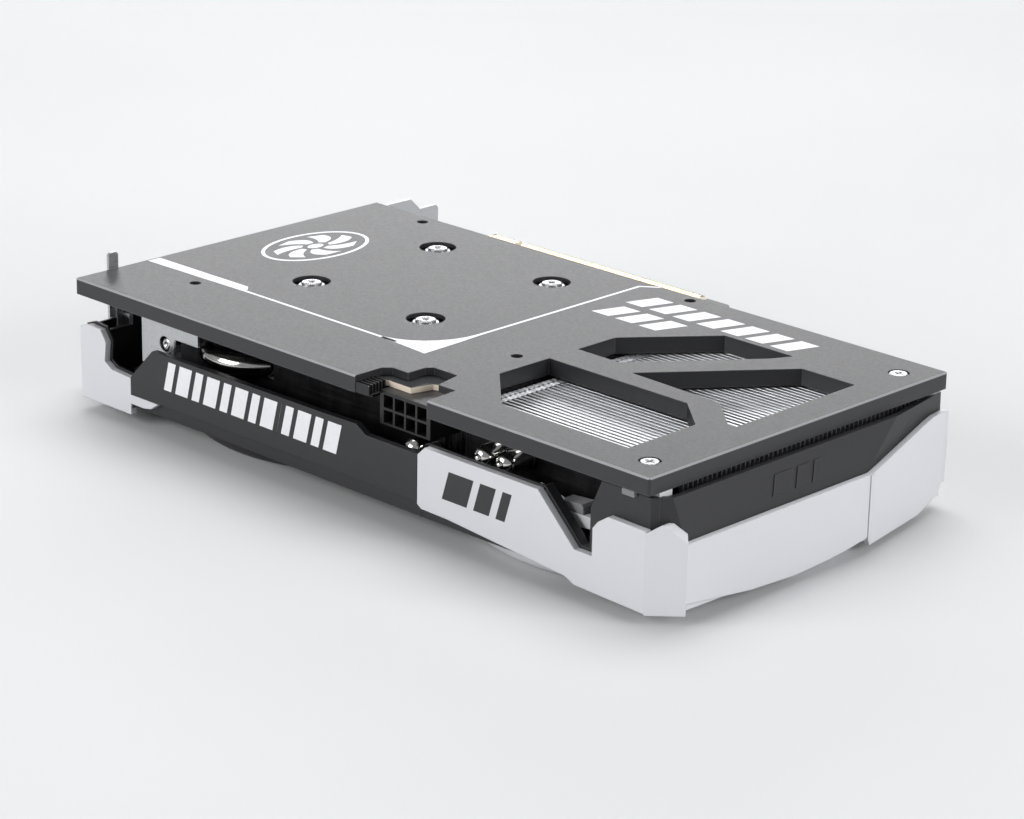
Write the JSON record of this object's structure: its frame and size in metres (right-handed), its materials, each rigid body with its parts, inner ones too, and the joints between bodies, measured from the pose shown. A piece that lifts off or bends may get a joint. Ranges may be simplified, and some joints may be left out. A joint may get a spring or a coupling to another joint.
{
  "type": "graphics card",
  "caption": "Two-slot computer graphics card with a vented backplate, finned heat-pipe cooler, white-trimmed shroud and free-spinning cooling fans.",
  "frame": {"origin": "bottom centre of the whole card's box, on the plane of the fan rings' outer faces", "axes": "+Z from the fan side to the backplate, +X from the I/O bracket to the free end, +Y from the power-socket edge to the edge-connector side"},
  "size_m": [0.2384, 0.145, 0.0437],
  "materials": {
    "graphite_coat": "satin powder coat",
    "bright_steel": "bright plated",
    "board": "glass epoxy laminate, solder mask",
    "gold_contact": "gold plated",
    "silicon": "polished silicon",
    "grey_paste": "soft thermal compound",
    "chip_epoxy": "moulded epoxy",
    "ferrite_grey": "pressed ferrite",
    "can_aluminium": "drawn can",
    "black_nylon": "moulded nylon",
    "bracket_steel": "nickel plated sheet",
    "nickel_pipe": "nickel plated copper",
    "black_aluminium": "black anodised",
    "fin_aluminium": "bare stamped sheet",
    "black_plastic": "fine textured moulding",
    "white_plastic": "satin moulding",
    "brass_sleeve": "sintered sleeve",
    "copper_winding": "enamelled winding",
    "black_screw": "black zinc",
    "cream_nylon": "moulded nylon",
    "fan_plastic": "moulded blades",
    "hub_silver": "spun disc"
  },
  "bodies": {
    "card": {"backplate": "graphite_coat", "backplate_screws": "bright_steel", "circuit_board": "board", "edge_contacts": "gold_contact", "processor_substrate": "board", "processor_die": "silicon", "thermal_paste": "grey_paste", "memory_chips": "chip_epoxy", "thermal_pads": "grey_paste", "inductors": "ferrite_grey", "power_stages": "chip_epoxy", "capacitors": "can_aluminium", "power_socket": "black_nylon", "power_pins": "gold_contact", "displayport_shells": "bright_steel", "displayport_tongues": "black_nylon", "hdmi_shell": "bright_steel", "hdmi_tongue": "black_nylon", "io_bracket": "bracket_steel", "bracket_ears": "bracket_steel", "bracket_screws": "bright_steel", "heat_pipes": "nickel_pipe", "cold_plate": "nickel_pipe", "mounting_frame": "black_aluminium", "processor_screws": "bright_steel", "spring_washers": "bright_steel", "fin_stack_inner": "fin_aluminium", "fin_stack_outer": "fin_aluminium", "shroud_body": "black_plastic", "bracket_end_trim": "white_plastic", "free_end_trim": "white_plastic", "fan_ring_1": "black_plastic", "fan_ring_2": "white_plastic", "fan_base_1": "black_nylon", "fan_base_2": "black_nylon", "fan_bearing_1": "brass_sleeve", "fan_bearing_2": "brass_sleeve", "fan_stator_1": "copper_winding", "fan_stator_2": "copper_winding", "fan_screws": "black_screw", "shroud_screws": "black_screw", "fan_header": "cream_nylon"},
    "fan_1": {"fan_rotor_1": "fan_plastic", "fan_magnet_1": "ferrite_grey", "fan_shaft_1": "bright_steel", "fan_hub_cap_1": "hub_silver"},
    "fan_2": {"fan_rotor_2": "fan_plastic", "fan_magnet_2": "ferrite_grey", "fan_shaft_2": "bright_steel", "fan_hub_cap_2": "hub_silver"}
  },
  "joints": [
    {"name": "fan_1_spin", "type": "hinge", "parent": "card", "child": "fan_1", "pos_m": [-0.04755, -0.0135, 0.0081], "axis": [0, 0, 1], "continuous": true},
    {"name": "fan_2_spin", "type": "hinge", "parent": "card", "child": "fan_2", "pos_m": [0.06465, -0.0135, 0.0081], "axis": [0, 0, 1], "continuous": true}
  ]
}
